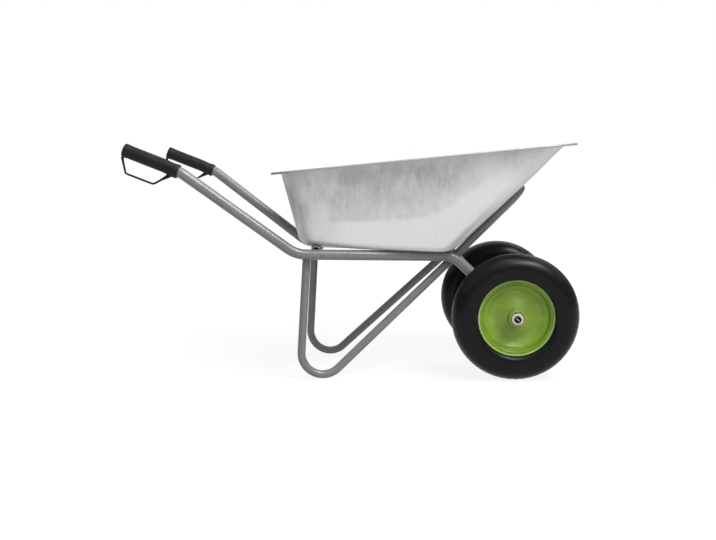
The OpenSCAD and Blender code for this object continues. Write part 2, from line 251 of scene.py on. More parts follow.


# galvanised sheet of the tray: smooth light zone low down, drawn streaks above it; painted shade on the
# turned edge, the rear wall and the front corners, painted light close under the rim
galvanised = {
    "light": (0.60, 0.615, 0.605),
    "drawnAndShade": (0.395, 0.405, 0.40),
    "dark": (0.258, 0.264, 0.261),
    # tone of the turned edge, which is painted shade
    "edge": (0.24, 0.243, 0.24),
    "metallic": 0.5,
    "patchScale": (46, 46, 9),
    "lineScale": (150, 150, 11),
    "cloudScale": 7.0,
    "rubShares": (0.36, 0.70, 0.36),  # patches, clouds and lines in the rubbed mask
    "darkRange": (0.58, 0.90),  # rubbed mask from the drawn to the dark tone
    "reachRange": (0.52, 0.77),  # rubbed mask from the least to the full reach of the zone
    "grainShare": 0.15,
    "drawnRoughness": 0.08,  # added where the sheet is drawn
}


def galvanisedMaterial(g):
    material, tree, surface = newMaterial("galvanisedSheet", Metallic=g["metallic"])
    place = objectPlace(tree)
    patch = noiseNode(tree, stretched(tree, place, g["patchScale"]), 1.0)
    line = noiseNode(tree, stretched(tree, place, g["lineScale"]), 1.0, roughness=0.65)
    cloud = noiseNode(tree, place, g["cloudScale"], detail=3.0)
    # broad clouds and streaks decide how dark the drawn zone gets
    rubbed = 0.0
    for streak, share in zip((patch, cloud, line), g["rubShares"]):
        rubbed = mathNode(tree, "MULTIPLY_ADD", streak, share, rubbed)
    drawnTone = mixColour(tree, rangeNode(tree, rubbed, *g["darkRange"]), g["drawnAndShade"], g["dark"])
    spangle = addNode(tree, "ShaderNodeTexVoronoi", Scale=95.0)
    wire(tree, place, spangle.inputs["Vector"])
    fleck = rangeNode(tree, spangle.outputs["Distance"], 0.0, 0.9, toLow=0.97, toHigh=1.02)
    lightTone = mixColour(tree, 1.0, g["light"], fleck, "MULTIPLY")
    reach = rangeNode(tree, rubbed, *g["reachRange"], toLow=0.70)
    # this share also carries painted shade on the rear wall and front corners, and painted light close
    # under the rim
    reach = mathNode(tree, "MULTIPLY", pieceValue(tree, "drawnAndShade"), reach)
    sheet = mixColour(tree, reach, lightTone, drawnTone)
    # painted shade on the turned edge, from the attribute that the tray sets on its hem rings
    wire(tree, mixColour(tree, pieceValue(tree, "wearAndPaintedLight"), sheet, g["edge"]), surface.inputs["Base Color"])
    finish = placeGroup(tree, grain, Scale=260.0, Low=0.38, High=0.48)
    rough = mathNode(tree, "MULTIPLY_ADD", reach, g["drawnRoughness"], finish["Roughness"])
    wire(tree, rough, surface.inputs["Roughness"])
    ridges = mathNode(tree, "MULTIPLY", line, reach)
    height = mathNode(tree, "MULTIPLY_ADD", finish["Height"], g["grainShare"], ridges)
    addBump(tree, surface, height, strength=0.12, depth=0.0005)
    return material


# grey frame paint, smooth and slightly glossy
framePaint = {
    "tone": (0.134, 0.135, 0.129),
    "shade": (0.118, 0.119, 0.114),
    "dust": (0.33, 0.32, 0.29),
    "bare": (0.34, 0.34, 0.33),
}


def framePaintMaterial(p):
    material, tree, surface = newMaterial("framePaint", IOR=1.5, Specular_IOR_Level=0.52)
    colour = placeGroup(tree, mottle, Tone=p["tone"], Shade=p["shade"], Scale=9.0)["Color"]
    colour = overlay(tree, colour, p["dust"], thinDust, Scale=30.0, Amount=0.06)
    colour = overlay(tree, colour, p["bare"], rubAndHighlight, Amount=0.8, Break=70.0)
    addFinish(tree, surface, colour, scale=90.0, low=0.25, high=0.31)
    return material


# leaf green wheel paint; its pale edge is partly worn paint and partly painted highlight, and the flange
# channel is left darker as painted shade
rimPaint = {
    "tone": (0.117, 0.208, 0.007),
    "shade": (0.087, 0.158, 0.005),
    # pale tone of the rubbed paint and of the painted highlights
    "wornAndHighlight": (0.42, 0.52, 0.25),
    "steadyHighlightShare": 0.52,  # painted highlight: a steady pale share along the lip and the hub's bead, under the broken rubbing
    # pale haze of dust, plus a steady painted lightening of the web that leaves the flange channel darker
    # as painted shade
    "haze": (0.33, 0.41, 0.12),
    "paintedLightShare": 0.14,
}


def rimPaintMaterial(p):
    material, tree, surface = newMaterial("rimPaint", IOR=1.5, Specular_IOR_Level=0.32)
    colour = placeGroup(tree, mottle, Tone=p["tone"], Shade=p["shade"], Scale=16.0)["Color"]
    dust = placeGroup(tree, thinDust, Scale=34.0, Amount=0.16)
    rub = placeGroup(tree, rubAndHighlight, Amount=0.7, Break=45.0)
    # painted highlight: a steady pale share wherever the piece's attribute is set
    steadyHighlight = mathNode(tree, "MULTIPLY", pieceValue(tree, "wearAndPaintedLight"), p["steadyHighlightShare"])
    rubbed = mathNode(tree, "MAXIMUM", rub["Mask"], steadyHighlight)
    # dust, plus a steady painted lightening on the web; the flange channel without it is painted shade
    haze = mathNode(tree, "ADD", dust["Mask"], p["paintedLightShare"])
    haze = mathNode(tree, "MULTIPLY", pieceValue(tree, "haze"), haze)
    colour = mixColour(tree, haze, colour, p["haze"])
    colour = mixColour(tree, rubbed, colour, p["wornAndHighlight"])
    addFinish(tree, surface, colour, scale=300.0, low=0.30, high=0.42, strength=0.15, depth=0.0006)
    return material


# black rubber and plastic, one entry for each finish:
# name, base tone, shaded tone, roughness range, specular level, grain scale and grain depth
rubbers = {
    "tyre_rubber": ("tyreRubber", (0.0024, 0.0024, 0.0030), (0.0038, 0.0038, 0.0043),
                    (0.28, 0.34), 0.19, 200.0, 0.0001),
    "tube_rubber": ("tubeRubber", (0.016,) * 3, (0.022,) * 3, (0.50, 0.60), 0.16, 300.0, 0.0005),
    "grip_rubber": ("gripRubber", (0.0068, 0.0068, 0.0072), (0.0105, 0.0105, 0.011),
                    (0.42, 0.54), 0.18, 700.0, 0.0005),
    "valve_rubber": ("valveRubber", (0.015,) * 3, (0.022,) * 3, (0.45, 0.55), 0.16, 600.0, 0.0003),
    "cap_plastic": ("capPlastic", (0.012, 0.012, 0.013), (0.018, 0.018, 0.019),
                    (0.30, 0.40), 0.3, 800.0, 0.0002),
}
rubberDust = (0.06, 0.058, 0.054)


def rubberMaterial(name, tone, shade, roughness, specular, grainScale, depth):
    material, tree, surface = newMaterial(name, IOR=1.45, Specular_IOR_Level=specular)
    colour = placeGroup(tree, mottle, Tone=tone, Shade=shade, Scale=18.0)["Color"]
    colour = overlay(tree, colour, rubberDust, thinDust, Scale=42.0, Amount=0.04)
    addFinish(tree, surface, colour, grainScale, *roughness, strength=0.1, depth=depth)
    return material


# plated and bare metal of the small hardware:
# name, plate tone, shaded tone, roughness range and rubbed tone
metals = {
    "zinc_hardware": ("zincPlate", (0.72, 0.68, 0.58), (0.52, 0.48, 0.41),
                      (0.28, 0.42), (0.78, 0.76, 0.70)),
    "axle_steel": ("axleSteel", (0.060, 0.034, 0.027), (0.030, 0.017, 0.014),
                   (0.50, 0.65), (0.2, 0.19, 0.18)),
    "bearing_steel": ("bearingSteel", (0.52,) * 3, (0.42,) * 3, (0.20, 0.32), (0.7,) * 3),
}


def metalMaterial(name, tone, shade, roughness, rubbed):
    material, tree, surface = newMaterial(name, Metallic=0.9)
    colour = placeGroup(tree, mottle, Tone=tone, Shade=shade, Scale=120.0)["Color"]
    colour = overlay(tree, colour, rubbed, rubAndHighlight, Amount=0.7, Break=300.0)
    addFinish(tree, surface, colour, 900.0, *roughness, strength=0.12, depth=0.0003)
    return material


finishes = {
    "galvanised_sheet": galvanisedMaterial(galvanised),
    "frame_paint": framePaintMaterial(framePaint),
    "rim_paint": rimPaintMaterial(rimPaint),
}
for slotName, values in rubbers.items():
    finishes[slotName] = rubberMaterial(*values)
for slotName, values in metals.items():
    finishes[slotName] = metalMaterial(*values)
print("materials made:", len(finishes))


# floor, backdrop and studio light
studio = {
    "floorSize": 40.0,
    "floorWhite": 0.52,
    "floorGlow": 1.09,
    "shadowShare": 0.2,
    "shadowReach": (1.1, 2.6),  # the shadow fades out between these distances
    "worldLevel": 0.49,
    "worldLean": (0.35, -0.25, 0.0),  # brighter toward the wheels and the camera
    "horizonGrey": 0.16,  # reflected studio at eye level, rising to white overhead
    "horizonBand": (0.05, 0.75),
    "softboxes": [
        # name, place, aimed at, width, height, watts, mirrored in glossy surfaces
        ("keyPanel", (2.05, -2.1, 3.65), (0.0, 0.0, 0.4), 2.3, 1.3, 182, True),
        ("frontFill", (1.6, -5.0, 3.2), (0.1, 0.0, 0.4), 5.0, 3.0, 112, False),
        ("topPanel", (0.8, 0.1, 3.2), (0.1, 0.0, 0.3), 2.4, 1.8, 52, False),
        ("wheelPanel", (0.46, -0.62, 3.1), (0.46, -0.3, 0.2), 0.9, 0.7, 20, True),
        ("rearFill", (0.8, 2.6, 1.7), (0.1, 0.0, 0.4), 2.4, 1.4, 12, True),
    ],
}


def makeWorld(s):
    world = bpy.data.worlds.new("studioWorld")
    tree = emptyTree(world)
    look = addNode(tree, "ShaderNodeTexCoord").outputs["Generated"]
    way = addNode(tree, "ShaderNodeSeparateXYZ")
    wire(tree, look, way.inputs[0])
    lean = addNode(tree, "ShaderNodeVectorMath", operation="DOT_PRODUCT")
    wire(tree, look, lean.inputs[0])
    lean.inputs[1].default_value = s["worldLean"]
    share = mathNode(tree, "ADD", lean.outputs["Value"], 1.0)
    even = mathNode(tree, "MULTIPLY", share, s["worldLevel"])
    height = mathNode(tree, "ABSOLUTE", way.outputs["Z"])
    band = rangeNode(tree, height, *s["horizonBand"], s["horizonGrey"], 1.0)
    path = addNode(tree, "ShaderNodeLightPath").outputs
    mirrored = mathNode(tree, "MAXIMUM", path["Is Glossy Ray"], path["Is Transmission Ray"])
    level = mixColour(tree, mirrored, even, band)
    level = mixColour(tree, path["Is Camera Ray"], level, (1.0, 1.0, 1.0))
    sky = addNode(tree, "ShaderNodeBackground", Strength=1.0)
    wire(tree, level, sky.inputs["Color"])
    wire(tree, sky.outputs[0], addNode(tree, "ShaderNodeOutputWorld").inputs["Surface"])
    scene.world = world


def makeSoftbox(name, place, target, width, height, watts, mirrored):
    data = bpy.data.lights.new(name, "AREA")
    data.shape = "RECTANGLE"
    data.size, data.size_y = width, height
    data.energy = watts
    lamp = bpy.data.objects.new(name, data)
    lamp.visible_glossy = mirrored
    lamp.location = place
    lamp.rotation_euler = (Vector(target) - Vector(place)).to_track_quat("-Z", "Y").to_euler()
    scene.collection.objects.link(lamp)


def makeFloor(s):
    half = s["floorSize"] / 2
    mesh = bpy.data.meshes.new("studioFloor")
    corners = [(-half, -half, 0), (half, -half, 0), (half, half, 0), (-half, half, 0)]
    mesh.from_pydata(corners, [], [(0, 1, 2, 3)])
    floor = bpy.data.objects.new("studioFloor", mesh)
    scene.collection.objects.link(floor)
    material = bpy.data.materials.new("paleFloor")
    tree = emptyTree(material)
    matt = addNode(tree, "ShaderNodeBsdfDiffuse", Color=(s["floorWhite"],) * 3 + (1,))
    glow = addNode(tree, "ShaderNodeEmission", Strength=s["floorGlow"])
    path = addNode(tree, "ShaderNodeLightPath").outputs
    seen = mathNode(tree, "MAXIMUM", path["Is Camera Ray"], path["Is Glossy Ray"])
    seen = mathNode(tree, "MAXIMUM", seen, path["Is Transmission Ray"])
    away = addNode(tree, "ShaderNodeVectorMath", operation="LENGTH")
    wire(tree, addNode(tree, "ShaderNodeNewGeometry").outputs["Position"], away.inputs[0])
    glowing = rangeNode(tree, away.outputs["Value"], *s["shadowReach"], 1 - s["shadowShare"], 1.0)
    mix = addNode(tree, "ShaderNodeMixShader")
    wire(tree, mathNode(tree, "MULTIPLY", seen, glowing), mix.inputs[0])
    wire(tree, matt.outputs[0], mix.inputs[1])
    wire(tree, glow.outputs[0], mix.inputs[2])
    wire(tree, mix.outputs[0], addNode(tree, "ShaderNodeOutputMaterial").inputs["Surface"])
    mesh.materials.append(material)


makeWorld(studio)
for values in studio["softboxes"]:
    makeSoftbox(*values)
makeFloor(studio)
print("studio set")


# mesh helpers
def addPiece(bm, name, body, slot, nodes, sharp):
    bmesh.ops.recalc_face_normals(bm, faces=bm.faces)
    mesh = bpy.data.meshes.new(name)
    bm.to_mesh(mesh)
    bm.free()
    for face in mesh.polygons:
        face.use_smooth = True
    mesh.set_sharp_from_angle(angle=math.radians(sharp))
    mesh.materials.append(finishes[slot])
    piece = bpy.data.objects.new(name, mesh)
    scene.collection.objects.link(piece)
    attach(piece, body)
    if nodes:
        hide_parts(*nodes)


def ease(value, low, high):
    t = min(max((value - low) / (high - low), 0.0), 1.0)
    return t * t * (3 - 2 * t)


def onSide(point, side):
    return Vector((point[0], point[1] * side, point[2])) * mm


def axlePoint(out):
    # point on the axle's line, at a distance to the left of the middle
    return Vector((axleAt.x, out * mm, axleAt.z))


def turns(count):
    return [2 * math.pi * k / count for k in range(count)]


def bentRoute(points, radii, degrees=4.0):
    # corner points and bend radii to a line of straights and true arcs
    route = [points[0].copy()]
    for i in range(1, len(points) - 1):
        into = (points[i] - points[i - 1]).normalized()
        out = (points[i + 1] - points[i]).normalized()
        turn = into.angle(out)
        radius = radii[i] * mm
        start = points[i] - into * (radius * math.tan(turn / 2))
        inward = (out - into * into.dot(out)).normalized()
        centre = start + inward * radius
        steps = max(2, round(math.degrees(turn) / degrees))
        for k in range(steps + 1):
            a = turn * k / steps
            route.append(centre - inward * radius * math.cos(a) + into * radius * math.sin(a))
    route.append(points[-1].copy())
    return route


def lineWays(line):
    # direction of a line at each of its points
    last = len(line) - 1
    return [(line[min(i + 1, last)] - line[max(i - 1, 0)]).normalized() for i in range(last + 1)]


def routeFrames(route):
    # directions and two cross axes, carried along without twist
    ways = lineWays(route)
    side = ways[0].cross(Vector((0, 0, 1)))
    if side.length < 0.1:
        side = ways[0].cross(Vector((0, 1, 0)))
    side.normalize()
    frames = []
    for way in ways:
        side = (side - way * side.dot(way)).normalized()
        frames.append((way, side, way.cross(side)))
    return frames


def ringOn(bm, centre, side, up, radius, facets):
    return [bm.verts.new(centre + side * (radius * math.cos(a)) + up * (radius * math.sin(a)))
            for a in turns(facets)]


def bridge(bm, first, second):
    n = len(first)
    for k in range(n):
        bm.faces.new((first[k], first[(k + 1) % n], second[(k + 1) % n], second[k]))


def joinRings(bm, rings):
    for a, b in zip(rings, rings[1:]):
        bridge(bm, a, b)


def closeEnds(bm, rings):
    bm.faces.new(rings[0])
    bm.faces.new(rings[-1])


def sweep(bm, route, radius, facets, swell=None):
    frames = routeFrames(route)
    rings = []
    for i, (centre, (_, side, up)) in enumerate(zip(route, frames)):
        r = radius * (swell(i / (len(route) - 1)) if swell else 1.0)
        rings.append(ringOn(bm, centre, side, up, r, facets))
    joinRings(bm, rings)
    return rings, frames


def slideToCylinder(ring, way, at, axis, radius):
    # moves an end ring along the tube until it meets a round tube
    across = way - axis * way.dot(axis)
    for vert in ring:
        gap = vert.co - at
        gap = gap - axis * gap.dot(axis)
        a = across.dot(across)
        b = 2 * gap.dot(across)
        c = gap.dot(gap) - radius * radius
        root = b * b - 4 * a * c
        if root > 0:
            vert.co += way * ((-b - math.sqrt(root)) / (2 * a))


def turnAbout(bm, profile, centre, side, segments=72):
    # turns a closed outline of (radius, distance to that side) points about the axle's line
    way = Vector((0, side, 0))
    across = way.orthogonal().normalized()
    third = way.cross(across)
    rings = [ringOn(bm, centre + way * (out * mm), across, third, radius * mm, segments)
             for radius, out in profile]
    joinRings(bm, rings + rings[:1])
    return rings


def denser(route, step):
    # extra points so that no stretch is longer than the step
    line = [route[0]]
    for a, b in zip(route, route[1:]):
        pieces = max(1, math.ceil((b - a).length / step))
        line += [a.lerp(b, k / pieces) for k in range(1, pieces + 1)]
    return line


def smoothLine(points, pieces):
    # Catmull-Rom curve through the points
    line = []
    last = len(points) - 1
    for i in range(last):
        p = [Vector(points[min(max(i + k, 0), last)]) for k in (-1, 0, 1, 2)]
        for k in range(pieces):
            t = k / pieces
            square = 2 * p[0] - 5 * p[1] + 4 * p[2] - p[3]
            cube = 3 * p[1] - p[0] - 3 * p[2] + p[3]
            line.append(0.5 * (2 * p[1] + (p[2] - p[0]) * t + square * t * t + cube * t ** 3))
    line.append(Vector(points[last]))
    return line


def sheetAbout(line, thickness):
    # closed outline of a sheet laid on both sides of a line
    offsets = [Vector((-way.y, way.x)) * thickness / 2 for way in lineWays(line)]
    up = [p + offset for p, offset in zip(line, offsets)]
    down = [p - offset for p, offset in zip(line, offsets)]
    return up + down[::-1]


# tray: pressed sheet with a flat floor, leaning walls, rounded corners and a turned-down rim
tray = {
    "floorRear": (-167.5, 412.8),
    "floorFront": (292.5, 383.4),
    "rimRear": (-219.5, 633.9),
    "rimFront": (629.0, 698.3),
    "floorWidth": 384.0,
    "sideLean": 13.0,
    "sheet": 1.2,
    "upperSkin": (0.79, -0.4, 0.795),  # how far it lies inward for its lift: rear, front, sides
    "rimWidths": (30.0, 34.0, 22.0),  # rear, front, sides
    "hem": 6.0,
    "hemRound": 2.2,
    "floorRound": 26.0,
    "rimRound": 6.0,
    "cornersLow": (50.0, 48.0),  # rear, front
    "cornersHigh": (84.0, 94.0),
    "cornersRim": (98.0, 118.0),
    "cornerTrim": 0.9,  # the flat floor's corners are this share of floorRound smaller
    "floorRings": (0.06, 0.25, 0.5, 0.75),
    "cornerSteps": 14,
    "sideSteps": 20,
    "wallSteps": 26,
    "waves": ((0.35, 0.011), (0.14, 0.03)),  # height and scale of the unevenness
    "waveMiddle": (65, 0, 620),  # from which the waves point outward
    "hemShade": (6, 0.85),  # rings along the turned edge, and how much painted shade they carry
    "sag": (4.8, 20.0, 170.0),  # side edges: depth, from which X, reach to the rear
    "sagLess": 0.35,  # share lost toward the front
    "sagWay": (-0.66, 0.75),  # X and Z on the front panel, straight down elsewhere
    "drawnFrom": (74.0, 94.0),  # height of the light zone at the rear and at mid length
    "drawnSpan": (-77.0, 133.0),  # X of these two; past the second the zone's edge climbs
    "drawnCurl": 0.0022,  # how fast it climbs
    "drawnSteps": (0.46, 0.40),  # shares gained at that edge and above it
    "paintedLightUnderRim": 0.34,  # painted light: share taken off close under the rim
    "bandAndCornerShade": (0.58, 0.56),  # least share in the band under the rim, and painted shade on the front corners
    "rearWallShade": (0.62, 0.28),  # painted shade on the rear wall: least share, and its gain with height
    "drawnInside": 0.8,
}
sideSlope = math.tan(math.radians(tray["sideLean"]))


def heightAt(start, end, x):
    # height at X on the line between two (X, Z) points
    return start[1] + (end[1] - start[1]) / (end[0] - start[0]) * (x - start[0])


def floorHeight(x):
    return heightAt(tray["floorRear"], tray["floorFront"], x)


def trayCorners(rear, front, lift):
    inRear, inFront, inSide = tray["upperSkin"]
    corners = []
    for at, side in ((rear, -1), (front, -1), (front, 1), (rear, 1)):
        halfWidth = tray["floorWidth"] / 2 + (at[1] - floorHeight(at[0])) * sideSlope
        inward = inRear if at is rear else inFront
        corner = Vector((at[0], side * halfWidth, at[1]))
        corners.append(corner + lift * Vector((inward, -side * inSide, 1)))
    return corners


def quarter(steps):
    # shares of a corner's two sides at even steps round it
    angles = [math.pi / 2 * k / steps for k in range(steps + 1)]
    return [(1 - math.sin(a), 1 - math.cos(a)) for a in angles]


def trayRing(corners, rounds):
    # quarter arcs at the corners, with even steps along the straights between them
    arcs = []
    for i, v in enumerate(corners):
        r = rounds[0] if i in (0, 3) else rounds[1]
        back = r * (corners[i - 1] - v).normalized()
        ahead = r * (corners[(i + 1) % 4] - v).normalized()
        arcs.append([v + back * s + ahead * t for s, t in quarter(tray["cornerSteps"])])
    ring = []
    for i, arc in enumerate(arcs):
        ring += arc
        follow = arcs[(i + 1) % 4][0]
        ring += [arc[-1].lerp(follow, k / tray["sideSteps"]) for k in range(1, tray["sideSteps"])]
    return ring


def spread(corners, rear, front, side):
    slope = (corners[1].z - corners[0].z) / (corners[1].x - corners[0].x)
    out = []
    for i, v in enumerate(corners):
        x = -rear if i in (0, 3) else front
        out.append(v + Vector((x, -side if i < 2 else side, x * slope)))
    return out


def toward(ring, other, far):
    return [p + far * (q - p).normalized() for p, q in zip(ring, other)]


def roundedRings(first, corner, last, steps):
    return [[v + (p - v) * s + (q - v) * t for p, v, q in zip(first, corner, last)]
            for s, t in quarter(steps)]


def traySkin(lift):
    trim = tray["sheet"] - lift
    rearRim, frontRim, sideRim = (w - trim for w in tray["rimWidths"])
    low = trayCorners(tray["floorRear"], tray["floorFront"], lift)
    high = trayCorners(tray["rimRear"], tray["rimFront"], lift)
    fillet = tray["floorRound"]
    flatRounds = [r - tray["cornerTrim"] * fillet for r in tray["cornersLow"]]
    inset = trayRing(spread(low, -fillet, -fillet, -fillet), flatRounds)
    lowRing, highRing = trayRing(low, tray["cornersLow"]), trayRing(high, tray["cornersHigh"])
    rimRing = trayRing(spread(high, rearRim, frontRim, sideRim), tray["cornersRim"])
    middle = sum(inset, Vector()) / len(inset)
    rings = [[middle.lerp(p, share) for p in inset] for share in tray["floorRings"]]
    rings += roundedRings(inset, lowRing, toward(lowRing, highRing, fillet), steps=9)
    wallTop = toward(highRing, lowRing, tray["rimRound"])
    wallFoot = rings[-1]
    for k in range(1, tray["wallSteps"]):
        rings.append([p.lerp(q, k / tray["wallSteps"]) for p, q in zip(wallFoot, wallTop)])
    rings += roundedRings(wallTop, highRing, toward(highRing, rimRing, tray["rimRound"]), steps=5)
    hemRing = [p - Vector((0, 0, tray["hem"] + lift)) for p in rimRing]
    bend = tray["hemRound"] + lift
    rings += roundedRings(toward(rimRing, highRing, bend), rimRing, toward(rimRing, hemRing, bend), steps=4)
    rings.append(hemRing)
    return rings


def drawnAndShadeShare(p, inner):
    # 0 where the sheet is smooth and light, 1 where it is streaked and dark; the same share paints shade on
    # the rear wall and the front corners, and paints light close under the rim
    fromFloor = p.z - floorHeight(p.x)
    fromRim = heightAt(tray["rimRear"], tray["rimFront"], p.x) - p.z
    fromRear = p.x - tray["floorRear"][0]
    fromSide = tray["floorWidth"] / 2 + fromFloor * sideSlope - abs(p.y)
    rearX, curlX = tray["drawnSpan"]
    along = min(max((p.x - rearX) / (curlX - rearX), 0.0), 1.0)
    start = tray["drawnFrom"][0] * (1 - along) + tray["drawnFrom"][1] * along
    start += tray["drawnCurl"] * max(0.0, p.x - curlX) ** 2
    first, second = tray["drawnSteps"]
    band, corners = tray["bandAndCornerShade"]
    rear, rearGain = tray["rearWallShade"]
    share = first * ease(fromFloor, start - 6, start + 6) + second * ease(fromFloor, start + 15, start + 75)
    # painted light close under the rim, against the shadow of its overhang
    share -= tray["paintedLightUnderRim"] * (1 - ease(fromRim, 3, 30))
    band *= (1 - ease(fromRim, 8, 110)) * (1 - ease(p.x, 480, 640))
    # painted shade on the rear wall
    rear = (1 - ease(fromRear, 10, 150)) * (rear + rearGain * ease(fromFloor, 50, 150))
    # painted shade on the front corners
    corners *= ease(fromSide, 4, 44) * ease(p.x, 300, 420)
    return min(max(share, band, rear, corners), 1.0) * (tray["drawnInside"] if inner else 1.0)


def edgeSag(p):
    # the lower side edges hang a little, and the edges of the front panel bulge with them
    deep, middle, reach = tray["sag"]
    x, z = tray["sagWay"]
    ahead = ease(p.x, 230, 300)
    along = max(0.0, 1 - ((min(p.x, middle) - middle) / reach) ** 2)
    along *= 1 - tray["sagLess"] * ease(p.x, middle, 290)
    above = p.z - max(floorHeight(p.x), heightAt(tray["floorFront"], tray["rimFront"], p.x))
    edge = ease(abs(p.y), 150 - 25 * ahead, 178 - 13 * ahead) * (1 - ease(above, 14, 80))
    fade = ease(tray["rimFront"][1] - p.z, 20, 90)
    return deep * along * edge * fade * Vector((x * ahead, 0, 1 + (z - 1) * ahead))


def makeTray():
    bm = bmesh.new()
    drawnAndShade = bm.verts.layers.float.new("drawnAndShade")
    wearAndPaintedLight = bm.verts.layers.float.new("wearAndPaintedLight")
    hemShadeRings, hemShadeShare = tray["hemShade"]
    skins = []
    for lift, inner in ((0.0, False), (tray["sheet"], True)):
        skin = []
        rings = traySkin(lift)
        for i, points in enumerate(rings):
            ring = []
            for p in points:
                away = (p - Vector(tray["waveMiddle"])).normalized()
                wave = sum(size * noise.noise(p * scale) for size, scale in tray["waves"])
                vert = bm.verts.new((p + away * wave - edgeSag(p)) * mm)
                vert[drawnAndShade] = drawnAndShadeShare(p, inner)
                # painted shade on the last rings, along the turned edge
                vert[wearAndPaintedLight] = hemShadeShare if i >= len(rings) - hemShadeRings else 0.0
                ring.append(vert)
            skin.append(ring)
        joinRings(bm, skin)
        centre = bm.verts.new(sum((v.co for v in skin[0]), Vector()) / len(skin[0]))
        for a, b in zip(skin[0], skin[0][1:] + skin[0][:1]):
            bm.faces.new((a, b, centre))
        skins.append(skin)
    bridge(bm, skins[0][-1], skins[1][-1])
    addPiece(bm, "traySheet", "chassis", "galvanised_sheet", ["tray"], sharp=50)


makeTray()
print("tray made")


# tube frame, given for the left side as corner points and bend radii
tubes = {
    "railRadius": 16.0,
    "legRadius": 12.5,
    "barRadius": 11.0,
    "wall": 1.5,
    "weldGap": 0.3,
    "gripEnd": (-657.9, 263.7, 705.2),
    "gripFront": (-504.5, 264.5, 640.6),
    "tubeFrom": 8.0,  # the tube ends this far inside the grip
    "handleX": -496.0,
    "rail": [(-176.5, 206.0, 388.0), (300.5, 131.0, 367.0), (475.5, 146.0, 190.0)],
    "railBends": [0, 48, 100, 75, 0],
    "leg": [(-146.0, 171.7, 398.0), (-184.2, 187.0, -82.7), (283.5, 103.5, 342.5)],
    "legBends": [0, 67, 0],
    "footRub": 4.0,  # height to which the ground has rubbed the feet
    "archTop": (518.5, 103.5, 568.5),
    "archBend": 58,
    "archLap": 4.0,  # the arch starts this far past the leg's end, then is mitred to it
    "rearBarX": -117.0,
    "frontBarX": 304.5,
    "bushRadius": 17.0,
    "bushBore": 10.05,
    "bushSpan": (130.0, 162.0),
}
weldLines = []  # closed lines along the joints, filled as the tubes are made
gripWay = (Vector(tubes["gripFront"]) - Vector(tubes["gripEnd"])).normalized()
archTop = Vector(tubes["archTop"])
legEnd = Vector(tubes["leg"][2])
archFoot = legEnd - tubes["archLap"] * (archTop - legEnd).normalized()


def between(a, b, x):
    # point on the line a to b at the given X
    return Vector(a).lerp(Vector(b), (x - a[0]) / (b[0] - a[0]))


def noteWelds(*rings):
    weldLines.extend([vert.co.copy() for vert in ring] for ring in rings)


def hollowTube(route, outer, facets=44, cope=()):
    # cope gives (end, point on the other tube, its axis, its radius)
    bm = bmesh.new()
    skins = []
    for radius in (outer * mm, outer * mm - tubes["wall"] * mm):
        rings, frames = sweep(bm, route, radius, facets)
        for end, at, axis, otherRadius in cope:
            ring, way = (rings[0], -frames[0][0]) if end == 0 else (rings[-1], frames[-1][0])
            slideToCylinder(ring, way, at, axis.normalized(), otherRadius * mm)
        skins.append(rings)
    bridge(bm, skins[0][0], skins[1][0])
    bridge(bm, skins[0][-1], skins[1][-1])
    return bm, skins


def makeFrameTube(name, side):
    start = Vector(tubes["gripEnd"]) + tubes["tubeFrom"] * gripWay
    bend = between(tubes["gripEnd"], tubes["gripFront"], tubes["handleX"])
    route = bentRoute([onSide(p, side) for p in [start, bend, *tubes["rail"]]], tubes["railBends"])
    cope = [(1, axleAt, Vector((0, 1, 0)), tubes["bushRadius"] + tubes["weldGap"])]
    bm, skins = hollowTube(route, tubes["railRadius"], 48, cope)
    noteWelds(skins[0][-1])
    addPiece(bm, name + "FrameTube", "chassis", "frame_paint", [name + "_frame_tube"], sharp=50)


def makeLeg(name, side):
    route = bentRoute([onSide(p, side) for p in tubes["leg"]], tubes["legBends"])
    bm, _ = hollowTube(route, tubes["legRadius"])
    wearAndPaintedLight = bm.verts.layers.float.new("wearAndPaintedLight")
    for vert in bm.verts:
        vert[wearAndPaintedLight] = 1 - ease(vert.co.z / mm, 0, tubes["footRub"])
    addPiece(bm, name + "LegTube", "chassis", "frame_paint", [name + "_leg_tube"], sharp=50)


def makeArch():
    points = [onSide(p, s) for p, s in ((archFoot, 1), (archTop, 1), (archTop, -1), (archFoot, -1))]
    route = bentRoute(points, [0, tubes["archBend"], tubes["archBend"], 0])
    bm, skins = hollowTube(route, tubes["legRadius"])
    # feet mitred to the ends of the legs
    for skin in skins:
        for ring, side in ((skin[0], 1), (skin[-1], -1)):
            legWay = (onSide(legEnd, side) - onSide(tubes["leg"][1], side)).normalized()
            way = (onSide(archTop, side) - onSide(archFoot, side)).normalized()
            plane = onSide(legEnd, side) + legWay * tubes["weldGap"] * mm
            for vert in ring:
                vert.co += way * ((plane - vert.co).dot(legWay) / way.dot(legWay))
    noteWelds(skins[0][0], skins[0][-1])
    addPiece(bm, "frontArch", "chassis", "frame_paint", ["front_arch"], sharp=50)


def makeCrossbar(name, node, at, radius, otherFrom, otherTo, otherRadius):
    # straight bar across the barrow, coped onto the tubes at both ends
    cope = []
    for end, side in ((0, -1), (1, 1)):
        a, b = onSide(otherFrom, side), onSide(otherTo, side)
        cope.append((end, a, b - a, otherRadius + tubes["weldGap"]))
    bm, skins = hollowTube([onSide(at, -1), onSide(at, 1)], radius, cope=cope)
    noteWelds(skins[0][0], skins[0][-1])
    addPiece(bm, name, "chassis", "frame_paint", [node], sharp=50)


def makeBush(name, side):
    r, bore, chamfer = tubes["bushRadius"], tubes["bushBore"], 0.8
    near, far = tubes["bushSpan"]
    profile = [(bore, near), (r - chamfer, near), (r, near + chamfer),
               (r, far - chamfer), (r - chamfer, far), (bore, far)]
    bm = bmesh.new()
    turnAbout(bm, profile, axlePoint(0), side)
    addPiece(bm, name + "AxleBush", "chassis", "frame_paint", [name + "_axle_bush"], sharp=30)


